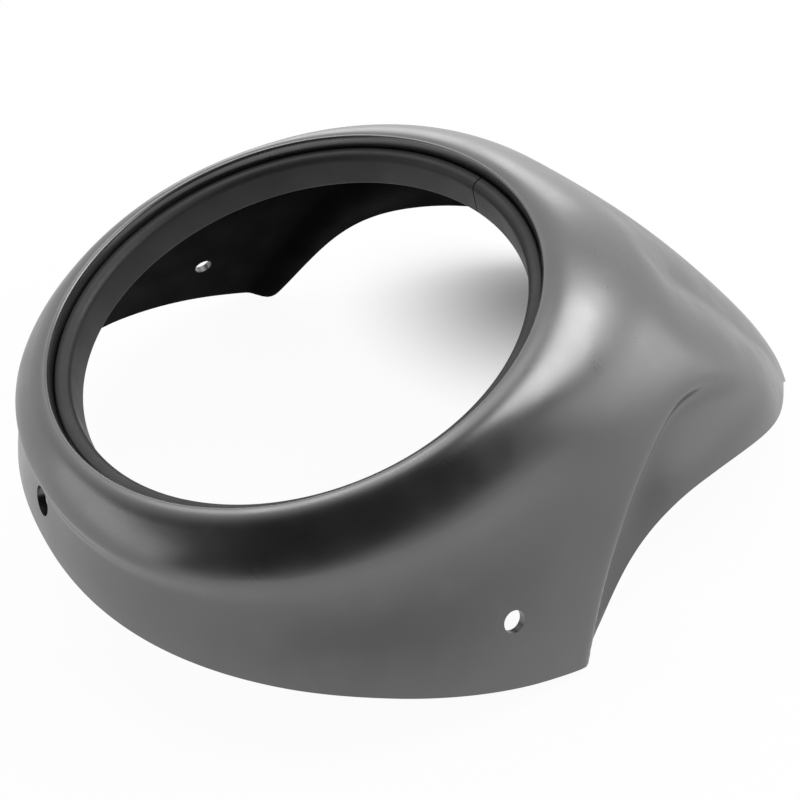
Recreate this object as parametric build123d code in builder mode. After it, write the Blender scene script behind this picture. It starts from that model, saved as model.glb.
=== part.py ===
"""Headlight cowl: a moulded shell round a lamp, with a rubber trim on its opening.

The shell lies as it rests on a table: on its two side corners and the end of its
tail. X runs from the chin to the tail, Y across, Z up from the table. The rim has a
frame of its own, with the lamp axis as its Z.
"""
import os
from math import cos, degrees, radians, sin, sqrt, tan

from build123d import *

# Rim: the collar's wall, the crest round it, and the way the shell lies
collar_radius = 93.2
crest_width = 1.8
crest_radius = collar_radius + crest_width
lie_angle = 14.6
rim_x = -70.4
rim_height = 98.0
wall = 3.0

# The skin is a family of rows, from 0 at the crest to 1 at the foot of the skirt. Each row
# lies in a plane that turns about one fold line ahead of the chin, by up to the fan angle.
fold_reach = 241.0
fan_angle = 22.5
row_count = 10
last_row = 1.03
half_steps = 48
overrun_steps = 3
skin_tolerance = 0.2
land_overlap = 1.7

# How far each row flares out from the crest at the chin, at the sides and at the tail
chin_flare = 26.6
chin_fullness = 0.25
side_flare = 42.9
skirt_share = 0.735
waist_row = 0.71
waist_length = 0.35
tail_flare = 140.2
tail_slope_share = 0.448
tail_power = 2.87

# Rows start round and grow squarer: the power of their curve goes up from 2
chin_square = 0.22
tail_square = 0.59
square_row = 0.63
square_turn = 0.6

# Tail: panels set in on both sides of the ridge on the centreline
panel_depth = 11.4
panel_top_row = 0.42
panel_full_row = 0.60
ridge_inner = 5.8
ridge_outer = 42.3
panel_fade_inner = 60.0
panel_fade_outer = 105.0

# Flanks: stepped in behind the skirt, below a line that peaks under the rim's tail end.
# Its height is given as an angle of the fan and falls away ahead of and behind the peak.
flank_depth = 5.6
flank_peak_x = 92.8
flank_peak_fan = 7.2
flank_fall_ahead = 0.116
flank_fall_behind = 0.121
flank_curve_ahead = 0.00095
flank_peak_round = 8.3
flank_step_fan = 2.2
flank_edge_fan = 0.5
flank_front_fade = 30.0
flank_fade_inner = 68.4
flank_fade_outer = 125.6

# Lower edge, seen from the side: heights above the table, places from the rim's centre
chin_edge_height = 29.4
edge_bend_radius = 169.0
edge_slope = 15.5
corner_place = 44.4
corner_radius = 6.0
arch_rise = 45.6
arch_rise_handle = 21.5
arch_place = 122.9
arch_height = 36.9
arch_front_handle = 44.2
arch_back_handle = 41.3
foot_handle_place = 213.7
foot_handle_height = 13.6
foot_place = 224.4

# Lamp opening: the crest's inner edge and the flange on the collar that carries the trim
crest_chamfer = 1.0
flange_depth = 10.0
flange_reach = 4.0

# Rubber trim, a channel that sits on the flange, with its ends butted
trim_nose = 2.0
trim_above = 4.8
trim_below = 7.0
trim_clearance = 0.4
slot_clearance = 0.1
trim_top_round = 3.5
trim_edge_chamfer = 1.0
joint_angle = 4.5
joint_gap = 0.5

# Fixing holes, each square to the wall: its row, and its turn from the tail
side_hole_diameter = 8.3
side_hole_row = 0.822
side_hole_turn = 90.4
chin_hole_diameter = 11.3
chin_hole_row = 0.64
chin_hole_turn = 180.0

# Cutters reach well past the walls they cut
span = 400.0
hole_reach = 10.0
nudge = 0.01

lie = radians(lie_angle)
rim = Plane(origin=(rim_x, 0, rim_height), x_dir=(cos(lie), 0, sin(lie)), z_dir=(-sin(lie), 0, cos(lie)))
lamp_axis = Axis(rim.origin, rim.z_dir)


def radial_plane(turn):
    """Half plane on the lamp axis: local x is the radius, local y runs along the axis."""
    outward = rim.x_dir * cos(radians(turn)) + rim.y_dir * sin(radians(turn))
    return Plane(origin=rim.origin, x_dir=outward, z_dir=outward.cross(rim.z_dir))


def ease(value, start, end):
    """Smooth step, from 0 at start to 1 at end."""
    t = min(1, max(0, (value - start) / (end - start)))
    return t * t * (3 - 2 * t)


def panel_inset(row, off):
    """Depth of the panels beside the ridge, at a distance off the centreline."""
    start = ease(row, panel_top_row, panel_full_row)
    fade = 1 - ease(off, panel_fade_inner, panel_fade_outer)
    return panel_depth * start * fade * ease(off, ridge_inner, ridge_outer)


def flank_inset(fan, x):
    """Depth of the stepped flanks, at an angle of the fan and a place along the shell."""
    run = x - flank_peak_x
    away = sqrt(run**2 + flank_peak_round**2)
    line = flank_peak_fan + (flank_fall_behind * (away + run) + flank_fall_ahead * (away - run)) / 2
    line += flank_curve_ahead * min(run, 0) ** 2
    under = fan - line
    under = (under + sqrt(under**2 + flank_edge_fan**2)) / 2
    step = 1 - (1 - min(1, under / flank_step_fan)) ** 3
    return flank_depth * step * ease(x, 0, flank_front_fade) * (1 - ease(x, flank_fade_inner, flank_fade_outer))


def skin_point(row, turn):
    """Point of the near half of the skin; turn is the angle from the tail, 180 at the chin."""
    fan = row**2 * fan_angle
    along = cos(radians(turn))
    across = sin(radians(turn))
    side = crest_radius + side_flare * (
        skirt_share * row + (1 - skirt_share) * ease(row, waist_row, waist_row + waist_length)
    )
    if along > 0:
        reach = crest_radius + tail_flare * (tail_slope_share * row + (1 - tail_slope_share) * row**tail_power)
        square = tail_square
    else:
        reach = crest_radius + chin_flare * row * (1 + chin_fullness * (1 - row))
        square = chin_square
    power = 2 + square * ease(row, 0, square_row) * ease(abs(along), 0, square_turn)
    radius = (abs(along / reach) ** power + abs(across / side) ** power) ** (-1 / power)
    x = radius * along
    y = radius * across
    if along > 0:
        y -= (1 if across > 0 else -1) * flank_inset(fan, x)
        x -= panel_inset(row, abs(radius * across))
    return rim.from_local_coords(Vector(x, -y, -tan(radians(fan)) * (fold_reach + x)))


def wall_plane(row, turn):
    """Plane on the skin, with its z axis square to the wall."""
    down = skin_point(row + nudge, turn) - skin_point(row - nudge, turn)
    ahead = skin_point(row, turn + nudge) - skin_point(row, turn - nudge)
    return Plane(origin=skin_point(row, turn), x_dir=ahead, z_dir=down.cross(ahead))


# One more row lies flat inside the crest, for the opening to be cut through
turns = [180 - 180 * step / half_steps for step in range(-overrun_steps, half_steps + overrun_steps + 1)]
skin_rows = [[skin_point(last_row * k / (row_count - 1), turn) for turn in turns] for k in range(row_count)]
land_share = (crest_width + land_overlap) / crest_radius
land_row = [point + (rim.origin - point) * land_share for point in skin_rows[0]]
skin = Face.make_surface_from_array_of_points([land_row] + skin_rows, tol=skin_tolerance, min_deg=3, max_deg=3)

with BuildPart() as cowl_shell:
    # Near half of the skin, thickened inwards and cut on the centre plane
    thicken(skin, amount=-wall)
    split(bisect_by=Plane.XZ, keep=Keep.TOP)
    # Lower edge: chin, side corner, arch and the tail's foot
    with BuildSketch(Plane.XZ.move(Location((rim_x, 0, 0)))):
        with BuildLine():
            corner = CenterArc((corner_place, corner_radius), corner_radius, -90 - edge_slope, edge_slope + arch_rise)
            bend_x = (corner @ 0).X - (chin_edge_height - (corner @ 0).Y) / tan(radians(edge_slope))
            FilletPolyline(
                corner @ 0,
                (bend_x, chin_edge_height),
                (-span, chin_edge_height),
                radius=edge_bend_radius,
            )
            Bezier(
                corner @ 1,
                corner @ 1 + (corner % 1) * arch_rise_handle,
                (arch_place - arch_front_handle, arch_height),
                (arch_place, arch_height),
            )
            Bezier(
                (arch_place, arch_height),
                (arch_place + arch_back_handle, arch_height),
                (foot_handle_place, foot_handle_height),
                (foot_place, 0),
            )
            Polyline((foot_place, 0), (span, 0), (span, span), (-span, span), (-span, chin_edge_height))
        make_face()
    extrude(amount=span, mode=Mode.INTERSECT)
    # Fixing hole in the side, then both halves in one
    with BuildSketch(wall_plane(side_hole_row, side_hole_turn)):
        Circle(side_hole_diameter / 2)
    extrude(amount=hole_reach, both=True, mode=Mode.SUBTRACT)
    mirror(about=Plane.XZ)
    # Collar with its flange, opened down to the flange, with a chamfer on the crest
    with BuildSketch(radial_plane(0)):
        with BuildLine():
            Polyline(
                (collar_radius - flange_reach, -flange_depth),
                (collar_radius - flange_reach, -flange_depth - wall),
                (collar_radius + wall, -flange_depth - wall),
                (collar_radius + wall, -wall / 2),
                (collar_radius - flange_reach / 2, -wall / 2),
                (collar_radius - flange_reach / 2, -flange_depth),
                close=True,
            )
        make_face()
    revolve(axis=lamp_axis)
    with BuildSketch(radial_plane(0)):
        with BuildLine():
            Polyline(
                (0, -flange_depth),
                (collar_radius, -flange_depth),
                (collar_radius, -crest_chamfer),
                (collar_radius + 2 * crest_chamfer, crest_chamfer),
                (0, crest_chamfer),
                close=True,
            )
        make_face()
    revolve(axis=lamp_axis, mode=Mode.SUBTRACT)
    # Fixing hole in the chin
    with BuildSketch(wall_plane(chin_hole_row, chin_hole_turn)):
        Circle(chin_hole_diameter / 2)
    extrude(amount=hole_reach, both=True, mode=Mode.SUBTRACT)

with BuildPart() as rim_trim:
    flange_edge = collar_radius - flange_reach
    nose = flange_edge - trim_nose
    back = collar_radius - trim_clearance
    top = trim_above - flange_depth
    slot_floor = flange_edge - slot_clearance
    slot_foot = -flange_depth - wall - slot_clearance
    bottom = slot_foot - trim_below
    gap_turn = degrees(joint_gap / nose)
    with BuildSketch(radial_plane(joint_angle + gap_turn)) as channel:
        with BuildLine():
            Polyline(
                (nose, bottom),
                (nose, top),
                (back, top),
                (back, -flange_depth),
                (slot_floor, -flange_depth),
                (slot_floor, slot_foot),
                (back, slot_foot),
                (back, bottom),
                close=True,
            )
        make_face()
        fillet(channel.vertices().sort_by_distance((nose, top))[0], radius=trim_top_round)
        for corner in ((back, top), (nose, bottom), (back, bottom)):
            chamfer(channel.vertices().sort_by_distance(corner)[0], length=trim_edge_chamfer)
    revolve(axis=lamp_axis, revolution_arc=360 - gap_turn)

os.makedirs("parts", exist_ok=True)
cowl_shell.part.label = "cowl_shell"
export_step(cowl_shell.part, "parts/cowl_shell.step")
rim_trim.part.label = "rim_trim"
export_step(rim_trim.part, "parts/rim_trim.step")
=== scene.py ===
from math import cos, pi, radians, sin, tan

import bmesh
import bpy
import numpy as np
from mathutils import Matrix, Vector


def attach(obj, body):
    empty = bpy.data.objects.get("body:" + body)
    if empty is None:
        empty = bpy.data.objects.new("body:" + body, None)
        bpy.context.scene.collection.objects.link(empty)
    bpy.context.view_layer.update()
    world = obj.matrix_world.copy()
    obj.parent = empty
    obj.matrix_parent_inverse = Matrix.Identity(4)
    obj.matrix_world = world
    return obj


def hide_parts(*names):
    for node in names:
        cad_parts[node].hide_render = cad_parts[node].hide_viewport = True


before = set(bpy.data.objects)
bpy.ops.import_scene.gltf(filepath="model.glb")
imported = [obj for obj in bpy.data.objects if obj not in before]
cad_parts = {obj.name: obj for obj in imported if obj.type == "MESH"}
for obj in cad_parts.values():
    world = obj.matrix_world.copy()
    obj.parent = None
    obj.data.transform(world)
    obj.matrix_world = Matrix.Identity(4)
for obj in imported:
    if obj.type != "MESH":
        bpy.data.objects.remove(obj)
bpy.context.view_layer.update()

# The cowl's lengths are in millimetres. Its values follow the photograph more closely than those
# of the CAD source, and some forms, such as the roll and the crease, are made only here.

# Rim: the collar's wall, the crest round it, and the way the shell lies
collar_radius = 93.2
crest_width = 1.8
crest_radius = collar_radius + crest_width
crest_round = 1.4
lie = radians(14.6)
rim_x = -70.4
rim_height = 98.0
wall = 3.0

# The skin is a family of rows, from 0 at the crest to 1 at the foot of the skirt. Each row lies
# in a plane that turns about one fold line ahead of the chin, by up to the fan angle in degrees.
fold_reach = 241.0
fan_angle = 22.5

# How far each row flares out from the crest at the chin, at the sides and at the tail
chin_flare = 28.6
chin_fullness = -0.03
side_flare = 45.5
skirt_share = 0.728
waist_row = 0.60
waist_length = 0.55
tail_flare = 131.7
tail_slope_share = 0.347
tail_power = 2.2

# Roll below the rim and the shallow crease under it, both gone towards the tail
roll_bulge = 1.2
roll_top_row = 0.20
roll_row = 0.45
crease_depth = 1.6
crease_row = 0.60
crease_end_row = 0.95
crease_turn = 0.5

# Rows start round and grow squarer: the power of their curve goes up from 2. The last rows of
# the tail are round again.
chin_square = 0.18
tail_square = 0.83
square_row = 0.69
square_turn = 0.6
tail_end_round = 1.16
tail_end_row = 0.75

# Tail: panels set in on both sides of the ridge on the centreline, which widens towards the foot
panel_depth = 9.5
panel_top_row = 0.40
panel_full_row = 0.62
panel_end_row = 0.74
panel_gone_row = 0.95
panel_fade_outer = 100.0
panel_round = 0.12
ridge_row = 0.60
ridge_half = 48.0
ridge_spread = 43.0

# Flanks: stepped in behind the skirt, below a line that peaks under the rim's tail end. Its height
# is given as an angle of the fan and falls away ahead of and behind the peak. Lower down, the
# flank comes back out by a share of its depth.
flank_depth = 8.6
flank_peak_x = 100.6
flank_peak_fan = 6.35
flank_fall_ahead = 0.038
flank_fall_behind = 0.115
flank_curve_ahead = 0.0018
flank_peak_round = 28.1
flank_step_fan = 2.0
flank_edge_fan = 0.4
flank_back_share = 0.5
flank_back_start_fan = 1.5
flank_back_end_fan = 7.5
flank_front_fade = 30.0
flank_fade_inner = 79.7
flank_fade_outer = 158.4
centre_turn = 0.2

# Lower edge, seen from the side: heights above the table, places from the rim's centre. At both
# ends the line runs on level, as far as the span.
chin_edge_height = 31.0
edge_bend_radius = 267.0
edge_slope = radians(15.3)
corner_place = 48.9
corner_radius = 6.0
arch_rise = radians(47.1)
arch_rise_handle = 22.5
arch_place = 112.3
arch_height = 38.9
arch_front_handle = 33.5
arch_back_handle = 44.9
foot_handle = (214.0, 14.1)
foot_place = 220.6
span = 400.0

# Flange on the collar, and the rubber trim that sits on it, with its ends butted
flange_depth = 10.0
flange_reach = 4.0
trim_nose = 2.0
trim_above = 4.8
trim_below = 7.0
trim_clearance = 0.4
slot_clearance = 0.1
trim_top_round = 3.5
trim_edge_round = 1.0
joint_angle = radians(4.5)
joint_gap = 0.5

# Fixing holes, each square to the wall: its row, and its turn from the tail
side_hole_diameter = 8.3
side_hole_row = 0.822
side_hole_turn = radians(90.4)
chin_hole_diameter = 11.3
chin_hole_row = 0.67
chin_hole_turn = pi
hole_depth = 6 * wall

# Meshes: their density, the rounding of the lower edge, and the softening of the inside.
# The exact boolean of the holes depends on the density: some others leave the shell empty.
half_columns = 241
row_steps = 117
trim_steps = 240
crest_steps = 7
trim_top_steps = 12
trim_edge_steps = 6
arc_steps = 40
curve_steps = 200
hole_segments = 64
row_limit = 1.08
search_rounds = 40
slope_step = 1e-4
edge_round_share = 0.004
edge_shares = (0.2, 0.8)
inner_soft = 2.0
sharp_angle = radians(40)
metre = 0.001

# Black mouldings: tones, range of roughness, grain per metre and its depth in millimetres
finishes = {
    "shell_plastic": dict(
        dark=(0.004, 0.0042, 0.0046),
        pale=(0.008, 0.0083, 0.0088),
        rough=(0.26, 0.34),
        grain_scale=1500,
        grain_depth=0.01,
        ior=1.7,
        specular=1.0,
    ),
    "shell_inside": dict(
        dark=(0.004, 0.004, 0.0042),
        pale=(0.008, 0.008, 0.0083),
        rough=(0.8, 0.95),
        grain_scale=700,
        grain_depth=0.03,
        ior=1.45,
        specular=0.1,
    ),
    "trim_rubber": dict(
        dark=(0.007, 0.007, 0.0073),
        pale=(0.013, 0.013, 0.0135),
        rough=(0.48, 0.6),
        grain_scale=900,
        grain_depth=0.02,
        ior=1.5,
        specular=0.5,
    ),
}

# Noise in the mouldings: scale per metre and detail, and the part of its range that is used
tone_scale, tone_detail = 22, 6
gloss_scale, gloss_detail = 60, 8
grain_detail = 3
noise_low, noise_high = 0.3, 0.7

# Floor, in metres, and the share of it that cameras and reflections see as plain white. The share
# is small under the tail's hood, so that the shadow stays there.
floor_half = 6.0
floor_tone = (0.72, 0.72, 0.72)
floor_rough = 0.9
floor_white_share = 0.95
hood_place = (0.1, 0.06, 0)
hood_reach = 0.11
hood_white_share = 0.1

# Room: the direction of its bright side, and the cosines to it between which the light rises
room_azimuth, room_elevation = 60.0, 20.0
room_dark_dot, room_bright_dot = -0.2, 0.6
room_dark, room_bright = 0.05, 1.1

# Lamps: azimuth from the tail and elevation in degrees, width and height in metres, radiance
lamp_distance = 1.2
lamps = {
    "softbox_right": (-28, 48, 1.1, 0.5, 5.0),
    "softbox_left": (118, 60, 0.45, 0.45, 3.0),
    "softbox_top": (60, 84, 0.7, 0.7, 1.2),
    "panel_right": (-32, 14, 1.1, 0.45, 1.7),
    "panel_chin": (165, 12, 0.9, 0.4, 1.6),
    "panel_back": (60, 16, 1.3, 0.5, 1.6),
}

# Camera in the rim's frame: its place in crest radii, and the picture's right and down
camera_lens = 54.0
camera_sensor = 36.0
camera_place = (-0.872, -3.413, 3.053)
camera_right = (0.822, -0.528, -0.214)
camera_down = (-0.525, -0.557, -0.643)


def ease(value, start, end):
    """Smooth step, from 0 at start to 1 at end."""
    t = np.clip((value - start) / (end - start), 0, 1)
    return t * t * (3 - 2 * t)


def panel_inset(row, off, soft):
    """Depth of the panels beside the ridge, at a distance off the centreline."""
    ridge_foot = ridge_half + ridge_spread * np.maximum(row - ridge_row, 0)
    present = ease(row, panel_top_row, panel_full_row) * (1 - ease(row, panel_end_row, panel_gone_row))
    fall = (off / ridge_foot) ** 2
    rise = (panel_fade_outer - off) / (panel_fade_outer - ridge_foot)
    bend = panel_round * soft
    rise = (rise + np.sqrt(rise**2 + bend**2)) / 2
    return panel_depth * present * (fall + rise - np.sqrt((fall - rise) ** 2 + bend**2)) / 2


def flank_inset(fan, x, soft):
    """Depth of the stepped flanks, at an angle of the fan and a place along the shell."""
    run = x - flank_peak_x
    away = np.sqrt(run**2 + flank_peak_round**2)
    line = flank_peak_fan + (flank_fall_behind * (away + run) + flank_fall_ahead * (away - run)) / 2
    line = line + flank_curve_ahead * np.minimum(run, 0) ** 2
    under = fan - line
    under = (under + np.sqrt(under**2 + (soft * flank_edge_fan) ** 2)) / 2
    step = 1 - (1 - np.minimum(1, under / (soft * flank_step_fan))) ** 3
    back = 1 - flank_back_share * ease(under, flank_back_start_fan, flank_back_end_fan)
    fade = ease(x, 0, flank_front_fade) * (1 - ease(x, flank_fade_inner, flank_fade_outer))
    return flank_depth * step * back * fade


def skin(row, turn, soft=1.0):
    """Outside of the shell in rim coordinates: turn is 0 at the tail and pi at the chin."""
    row, turn = np.broadcast_arrays(np.asarray(row, float), np.asarray(turn, float))
    fan = row**2 * fan_angle
    along, across = np.cos(turn), np.sin(turn)
    waist = skirt_share * row + (1 - skirt_share) * ease(row, waist_row, waist_row + waist_length)
    side = crest_radius + side_flare * waist
    tail = crest_radius + tail_flare * (tail_slope_share * row + (1 - tail_slope_share) * row**tail_power)
    chin = crest_radius + chin_flare * row * (1 + chin_fullness * (1 - row))
    behind = along > 0
    reach = np.where(behind, tail, chin)
    rounder = 1 - tail_end_round * ease(row, tail_end_row, 1)
    square = np.where(behind, tail_square * rounder, chin_square)
    power = 2 + square * ease(row, 0, square_row) * ease(np.abs(along), 0, square_turn)
    radius = (np.abs(along / reach) ** power + np.abs(across / side) ** power) ** (-1 / power)
    turn_in = ease(row, roll_row, crease_row)
    roll = roll_bulge * (ease(row, roll_top_row, roll_row) - turn_in)
    crease = crease_depth * (turn_in - ease(row, crease_row, crease_end_row))
    radius = radius + (roll - crease) * (1 - ease(along, 0, crease_turn))
    x, y = radius * along, radius * across
    inset = np.where(behind, flank_inset(fan, x, soft), 0) * ease(np.abs(across), 0, centre_turn)
    panel = np.where(behind, panel_inset(row, np.abs(y), soft), 0)
    x, y = x - panel, y - np.sign(across) * inset
    return np.stack([x, -y, -np.tan(np.radians(fan)) * (fold_reach + x)], -1)


def outward(row, turn, soft=1.0):
    """Direction square to the skin, away from the inside."""
    row, turn = np.asarray(row, float), np.asarray(turn, float)
    down = skin(row + slope_step, turn, soft) - skin(np.maximum(row - slope_step, 0), turn, soft)
    sideways = skin(row, turn + slope_step, soft) - skin(row, turn - slope_step, soft)
    normal = np.cross(sideways, down)
    return normal / np.linalg.norm(normal, axis=-1, keepdims=True)


def inner(row, turn):
    """Inside of the shell: the skin with softened edges, moved in by the wall, square to it."""
    return skin(row, turn, inner_soft) - wall * outward(row, turn, inner_soft)


def to_frame(points):
    """Rim coordinates in millimetres to the shared frame in metres."""
    x, y, z = points[..., 0], points[..., 1], points[..., 2]
    ahead = x * cos(lie) - z * sin(lie) + rim_x
    up = x * sin(lie) + z * cos(lie) + rim_height
    return np.stack([ahead, y, up], -1) * metre


def bezier(a, b, c, d):
    """Points of a cubic curve from a to d, with b and c as its handles."""
    t = np.linspace(0, 1, curve_steps)[:, None]
    a, b, c, d = (np.array(v, float) for v in (a, b, c, d))
    return (1 - t) ** 3 * a + 3 * t * (1 - t) ** 2 * b + 3 * t**2 * (1 - t) * c + t**3 * d


def arc(centre, radius, start, end, steps=arc_steps):
    """Points of a circle's arc, from the angle start to the angle end."""
    t = np.linspace(start, end, steps)
    return np.stack([centre[0] + radius * np.cos(t), centre[1] + radius * np.sin(t)], -1)


def lower_edge():
    """Lower edge seen from the side: chin, bend, side corner, arch and the tail's foot."""
    corner = arc((corner_place, corner_radius), corner_radius, -pi / 2 - edge_slope, -pi / 2 + arch_rise)
    bend_x = corner[0, 0] - (chin_edge_height - corner[0, 1]) / tan(edge_slope)
    bend_start = bend_x - edge_bend_radius * tan(edge_slope / 2)
    bend_centre = (bend_start, chin_edge_height - edge_bend_radius)
    bend = arc(bend_centre, edge_bend_radius, pi / 2, pi / 2 - edge_slope)
    rise = corner[-1] + arch_rise_handle * np.array((cos(arch_rise), sin(arch_rise)))
    peak = (arch_place, arch_height)
    front = bezier(corner[-1], rise, (arch_place - arch_front_handle, arch_height), peak)
    back = bezier(peak, (arch_place + arch_back_handle, arch_height), foot_handle, (foot_place, 0))
    return np.concatenate([[(-span, chin_edge_height)], bend, corner, front[1:], back[1:], [(span, 0)]])


edge_line = lower_edge()


def search(inside, low, high):
    """Rows, one for each column, where inside turns from true to false."""
    for _ in range(search_rounds):
        middle = (low + high) / 2
        keep = inside(middle)
        low, high = np.where(keep, middle, low), np.where(keep, high, middle)
    return low


def above_edge(surface, row, turn):
    """Whether points of the skin or of its inside lie above the lower edge."""
    place = to_frame(surface(row, turn)) / metre
    return place[..., 2] > np.interp(place[..., 0] - rim_x, edge_line[:, 0], edge_line[:, 1])


def inside_collar(row, turn):
    """Whether points of the inside are still within the collar's outer wall."""
    place = inner(row, turn)
    return np.hypot(place[..., 0], place[..., 1]) < collar_radius + wall


def ring(radius, z, turn):
    """Loop round the lamp axis, at one height."""
    return np.stack([radius * np.cos(turn), -radius * np.sin(turn), np.full(turn.shape, z)], -1)


def shell_loops(turn):
    """Closed run of loops round the wall: outside, lower edge, inside, collar, flange and crest."""
    none, full = np.zeros(turn.shape), np.full(turn.shape, row_limit)
    cut_out = search(lambda row: above_edge(skin, row, turn), none, full)
    cut_in = search(lambda row: above_edge(inner, row, turn), none, full)
    top_in = search(lambda row: inside_collar(row, turn), none, full / 2)
    shares = np.linspace(0, 1, row_steps + 1)
    loops = [skin(cut_out * share * (1 - edge_round_share), turn) for share in shares]
    edge_out, edge_in = skin(cut_out, turn), inner(cut_in, turn)
    loops += [edge_out * (1 - t) + edge_in * t for t in edge_shares]
    low_in = cut_in * (1 - edge_round_share)
    loops += [inner(low_in + (top_in - low_in) * share, turn) for share in shares]
    flange_edge = collar_radius - flange_reach
    loops.append(ring(collar_radius + wall, -flange_depth - wall, turn))
    loops.append(ring(flange_edge, -flange_depth - wall, turn))
    loops.append(ring(flange_edge, -flange_depth, turn))
    loops.append(ring(collar_radius, -flange_depth, turn))
    crest = arc((collar_radius + crest_round, -crest_round), crest_round, pi, pi / 2, crest_steps)
    loops += [ring(radius, z, turn) for radius, z in crest]
    return np.stack(loops)


def mesh_object(name, vertices, faces):
    """Object with its faces turned outwards, smooth but for its sharp edges."""
    mesh = bpy.data.meshes.new(name)
    mesh.from_pydata(vertices.reshape(-1, 3).tolist(), [], faces)
    work = bmesh.new()
    work.from_mesh(mesh)
    bmesh.ops.recalc_face_normals(work, faces=work.faces)
    if work.calc_volume(signed=True) < 0:
        bmesh.ops.reverse_faces(work, faces=work.faces)
    work.to_mesh(mesh)
    work.free()
    mesh.shade_smooth()
    mesh.set_sharp_from_angle(angle=sharp_angle)
    made = bpy.data.objects.new(name, mesh)
    bpy.context.collection.objects.link(made)
    return made


def quads(index):
    """Faces between neighbours of a grid of vertex numbers whose columns run round."""
    above, below = index[:-1], index[1:]
    return np.stack([above, np.roll(above, -1, 1), np.roll(below, -1, 1), below], -1).reshape(-1, 4)


def shell_piece():
    """Shell without its holes: the near half and its mirror image, with the inside duller."""
    near = shell_loops(np.linspace(0, pi, half_columns + 1))
    far = near[:, -2:0:-1] * [1, -1, 1]
    grid = to_frame(np.concatenate([near, far], 1))
    index = np.arange(grid.shape[0] * grid.shape[1]).reshape(grid.shape[:2])
    closed = np.concatenate([index, index[:1]])
    piece = mesh_object("cowl", grid, quads(closed).tolist())
    # Inside bands: from the lower edge's inner corner up to the flange's underside
    band = np.arange(grid.shape[0])
    first_inside = row_steps + 2
    last_inside = first_inside + row_steps + 2
    inside = (band >= first_inside) & (band <= last_inside)
    for name in ("shell_plastic", "shell_inside"):
        piece.data.materials.append(worn_black(name, **finishes[name]))
    piece.data.polygons.foreach_set("material_index", np.repeat(inside, grid.shape[1]).astype(np.int32))
    return piece


def hole_cutter(row, turn, diameter, side):
    """Cylinder square to the wall, on the near side or, with side -1, on the far one."""
    place = to_frame(skin(row, turn) * [1, side, 1])
    tip = to_frame((skin(row, turn) + outward(row, turn)) * [1, side, 1])
    mesh = bpy.data.meshes.new("cutter")
    work = bmesh.new()
    radius = diameter / 2 * metre
    bmesh.ops.create_cone(
        work,
        cap_ends=True,
        segments=hole_segments,
        radius1=radius,
        radius2=radius,
        depth=hole_depth * metre,
    )
    work.to_mesh(mesh)
    work.free()
    cutter = bpy.data.objects.new("cutter", mesh)
    bpy.context.collection.objects.link(cutter)
    aim = Vector((tip - place).tolist())
    turned = aim.to_track_quat("Z", "Y").to_matrix().to_4x4()
    cutter.matrix_world = Matrix.Translation(place.tolist()) @ turned
    return cutter


def drill(piece, cutters):
    """Cut the holes, keep the result as the piece's mesh, and drop the cutters."""
    bpy.context.view_layer.update()
    for cutter in cutters:
        cut = piece.modifiers.new("hole", "BOOLEAN")
        cut.operation = "DIFFERENCE"
        cut.solver = "EXACT"
        cut.object = cutter
    drilled = bpy.data.meshes.new_from_object(piece.evaluated_get(bpy.context.evaluated_depsgraph_get()))
    piece.modifiers.clear()
    piece.data = drilled
    for cutter in cutters:
        bpy.data.objects.remove(cutter)
    drilled.shade_smooth()
    drilled.set_sharp_from_angle(angle=sharp_angle)


def trim_piece():
    """Rubber channel on the flange, open by the joint's gap."""
    flange_edge = collar_radius - flange_reach
    nose = flange_edge - trim_nose
    back = collar_radius - trim_clearance
    top = trim_above - flange_depth
    slot_floor = flange_edge - slot_clearance
    slot_foot = -flange_depth - wall - slot_clearance
    bottom = slot_foot - trim_below
    small, steps = trim_edge_round, trim_edge_steps
    profile = np.concatenate([
        arc((nose + trim_top_round, top - trim_top_round), trim_top_round, pi, pi / 2, trim_top_steps),
        arc((back - small, top - small), small, pi / 2, 0, steps),
        [(back, -flange_depth), (slot_floor, -flange_depth), (slot_floor, slot_foot), (back, slot_foot)],
        arc((back - small, bottom + small), small, 0, -pi / 2, steps),
        arc((nose + small, bottom + small), small, -pi / 2, -pi, steps),
    ])
    turn = np.linspace(joint_angle + joint_gap / nose, joint_angle + 2 * pi, trim_steps + 1)[:, None]
    radius, height = profile[None, :, 0], profile[None, :, 1] + 0 * turn
    grid = to_frame(np.stack([radius * np.cos(turn), radius * np.sin(turn), height], -1))
    index = np.arange(grid.shape[0] * grid.shape[1]).reshape(grid.shape[:2])
    return mesh_object("trim", grid, quads(index).tolist() + [index[0].tolist(), index[-1].tolist()])


def add_node(tree, kind, **values):
    """Node with values set on its inputs, an underscore standing for a space in their names."""
    made = tree.nodes.new(kind)
    for name, value in values.items():
        made.inputs[name.replace("_", " ")].default_value = value
    return made


def noise(tree, scale, detail):
    """Noise in the object's own coordinates, in metres."""
    coord = tree.nodes.new("ShaderNodeTexCoord")
    made = add_node(tree, "ShaderNodeTexNoise", Scale=scale, Detail=detail)
    tree.links.new(coord.outputs["Object"], made.inputs["Vector"])
    return made.outputs["Fac"]


def ramp(tree, value, start, end, low, high, shape="LINEAR"):
    """Value mapped to run from low at start to high at end."""
    made = add_node(tree, "ShaderNodeMapRange", From_Min=start, From_Max=end, To_Min=low, To_Max=high)
    made.interpolation_type = shape
    tree.links.new(value, made.inputs["Value"])
    return made.outputs["Result"]


def combine(tree, operation, first, second):
    """Result of a math operation on two values."""
    made = tree.nodes.new("ShaderNodeMath")
    made.operation = operation
    tree.links.new(first, made.inputs[0])
    tree.links.new(second, made.inputs[1])
    return made.outputs[0]


def measure(tree, operation, vector, fixed):
    """Distance or dot product of a vector and a fixed one."""
    made = tree.nodes.new("ShaderNodeVectorMath")
    made.operation = operation
    made.inputs[1].default_value = fixed
    tree.links.new(vector, made.inputs[0])
    return made.outputs["Value"]


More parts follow.
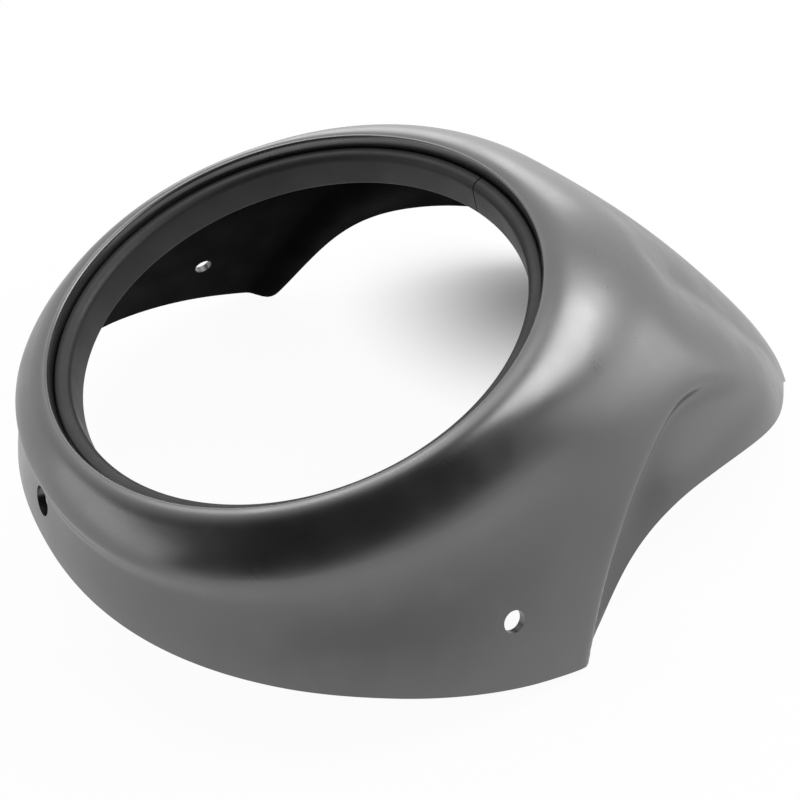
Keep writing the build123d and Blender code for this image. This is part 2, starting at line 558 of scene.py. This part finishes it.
def blend(tree, value, first, second):
    """Colour between two others."""
    made = tree.nodes.new("ShaderNodeMix")
    made.data_type = "RGBA"
    made.inputs["A"].default_value = (*first, 1)
    made.inputs["B"].default_value = (*second, 1)
    tree.links.new(value, made.inputs["Factor"])
    return made.outputs["Result"]


def worn_black(name, dark, pale, rough, grain_scale, grain_depth, ior, specular):
    """Black moulding: tone and gloss drift a little, over a fine grain."""
    made = bpy.data.materials.new(name)
    made.use_nodes = True
    tree = made.node_tree
    shader = tree.nodes["Principled BSDF"]
    shader.inputs["IOR"].default_value = ior
    shader.inputs["Specular IOR Level"].default_value = specular
    tone = ramp(tree, noise(tree, tone_scale, tone_detail), noise_low, noise_high, 0, 1)
    tree.links.new(blend(tree, tone, dark, pale), shader.inputs["Base Color"])
    gloss = ramp(tree, noise(tree, gloss_scale, gloss_detail), noise_low, noise_high, *rough)
    tree.links.new(gloss, shader.inputs["Roughness"])
    bump = add_node(tree, "ShaderNodeBump", Strength=1.0, Distance=grain_depth * metre)
    tree.links.new(noise(tree, grain_scale, grain_detail), bump.inputs["Height"])
    tree.links.new(bump.outputs["Normal"], shader.inputs["Normal"])
    return made


def floor_material():
    """Paper that cameras and reflections see as mostly plain white, with some shading left."""
    made = bpy.data.materials.new("paper")
    made.use_nodes = True
    tree = made.node_tree
    paper = tree.nodes["Principled BSDF"]
    paper.inputs["Base Color"].default_value = (*floor_tone, 1)
    paper.inputs["Roughness"].default_value = floor_rough
    white = add_node(tree, "ShaderNodeEmission", Strength=1.0)
    path = tree.nodes.new("ShaderNodeLightPath")
    seen = path.outputs["Is Camera Ray"]
    for kind in ("Is Glossy Ray", "Is Transmission Ray"):
        seen = combine(tree, "MAXIMUM", seen, path.outputs[kind])
    place = tree.nodes.new("ShaderNodeNewGeometry")
    away = measure(tree, "DISTANCE", place.outputs["Position"], hood_place)
    level = ramp(tree, away, 0, hood_reach, hood_white_share, floor_white_share, "SMOOTHSTEP")
    mix = tree.nodes.new("ShaderNodeMixShader")
    tree.links.new(combine(tree, "MULTIPLY", seen, level), mix.inputs[0])
    tree.links.new(paper.outputs[0], mix.inputs[1])
    tree.links.new(white.outputs[0], mix.inputs[2])
    tree.links.new(mix.outputs[0], tree.nodes["Material Output"].inputs["Surface"])
    return made


def aim_from(azimuth, elevation):
    """Direction to a place in the room, from the frame's origin under the cowl."""
    a, e = radians(azimuth), radians(elevation)
    return Vector((cos(e) * cos(a), cos(e) * sin(a), sin(e)))


def softbox(name, azimuth, elevation, width, height, radiance):
    """Lamp that faces the frame's origin, hidden from the camera but not from reflections."""
    data = bpy.data.lights.new(name, "AREA")
    data.shape = "RECTANGLE"
    data.size, data.size_y = width, height
    data.energy = radiance * pi * width * height
    lamp = bpy.data.objects.new(name, data)
    aim = aim_from(azimuth, elevation)
    lamp.location = aim * lamp_distance
    lamp.rotation_euler = aim.to_track_quat("Z", "Y").to_euler()
    lamp.visible_camera = False
    bpy.context.collection.objects.link(lamp)


def studio_world():
    """Room: white to the camera, and to other rays bright behind the cowl and dark at its near side."""
    room = bpy.data.worlds.new("room")
    bpy.context.scene.world = room
    room.use_nodes = True
    tree = room.node_tree
    coord = tree.nodes.new("ShaderNodeTexCoord")
    dot = measure(tree, "DOT_PRODUCT", coord.outputs["Generated"], aim_from(room_azimuth, room_elevation))
    level = ramp(tree, dot, room_dark_dot, room_bright_dot, room_dark, room_bright, "SMOOTHSTEP")
    path = tree.nodes.new("ShaderNodeLightPath")
    seen = combine(tree, "MAXIMUM", level, path.outputs["Is Camera Ray"])
    tree.links.new(seen, tree.nodes["Background"].inputs["Strength"])
    tree.nodes["Background"].inputs["Color"].default_value = (1, 1, 1, 1)


def camera():
    """Camera at the photograph's viewing angle."""
    data = bpy.data.cameras.new("camera")
    data.lens = camera_lens
    data.sensor_width = camera_sensor
    made = bpy.data.objects.new("camera", data)
    bpy.context.collection.objects.link(made)
    made.location = to_frame(np.array(camera_place) * crest_radius).tolist()
    to_table = Matrix.Rotation(-lie, 3, "Y")
    right = (to_table @ Vector(camera_right)).normalized()
    ahead = right.cross(to_table @ Vector(camera_down)).normalized()
    up = right.cross(ahead)
    made.rotation_euler = Matrix((right, up, -ahead)).transposed().to_euler()
    bpy.context.scene.camera = made


cowl = shell_piece()
drill(cowl, [
    hole_cutter(side_hole_row, side_hole_turn, side_hole_diameter, 1),
    hole_cutter(side_hole_row, side_hole_turn, side_hole_diameter, -1),
    hole_cutter(chin_hole_row, chin_hole_turn, chin_hole_diameter, 1),
])
trim = trim_piece()
trim.data.materials.append(worn_black("trim_rubber", **finishes["trim_rubber"]))
for piece, node, slot in ((cowl, "cowl_shell", "shell_plastic"), (trim, "rim_trim", "trim_rubber")):
    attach(piece, "root")
    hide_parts(node)

corners = np.array([(-1, -1, 0), (1, -1, 0), (1, 1, 0), (-1, 1, 0)]) * floor_half
floor = mesh_object("floor", corners, [(0, 1, 2, 3)])
floor.data.materials.append(floor_material())
for name, settings in lamps.items():
    softbox(name, *settings)
studio_world()
camera()
bpy.context.scene.view_settings.view_transform = "Standard"
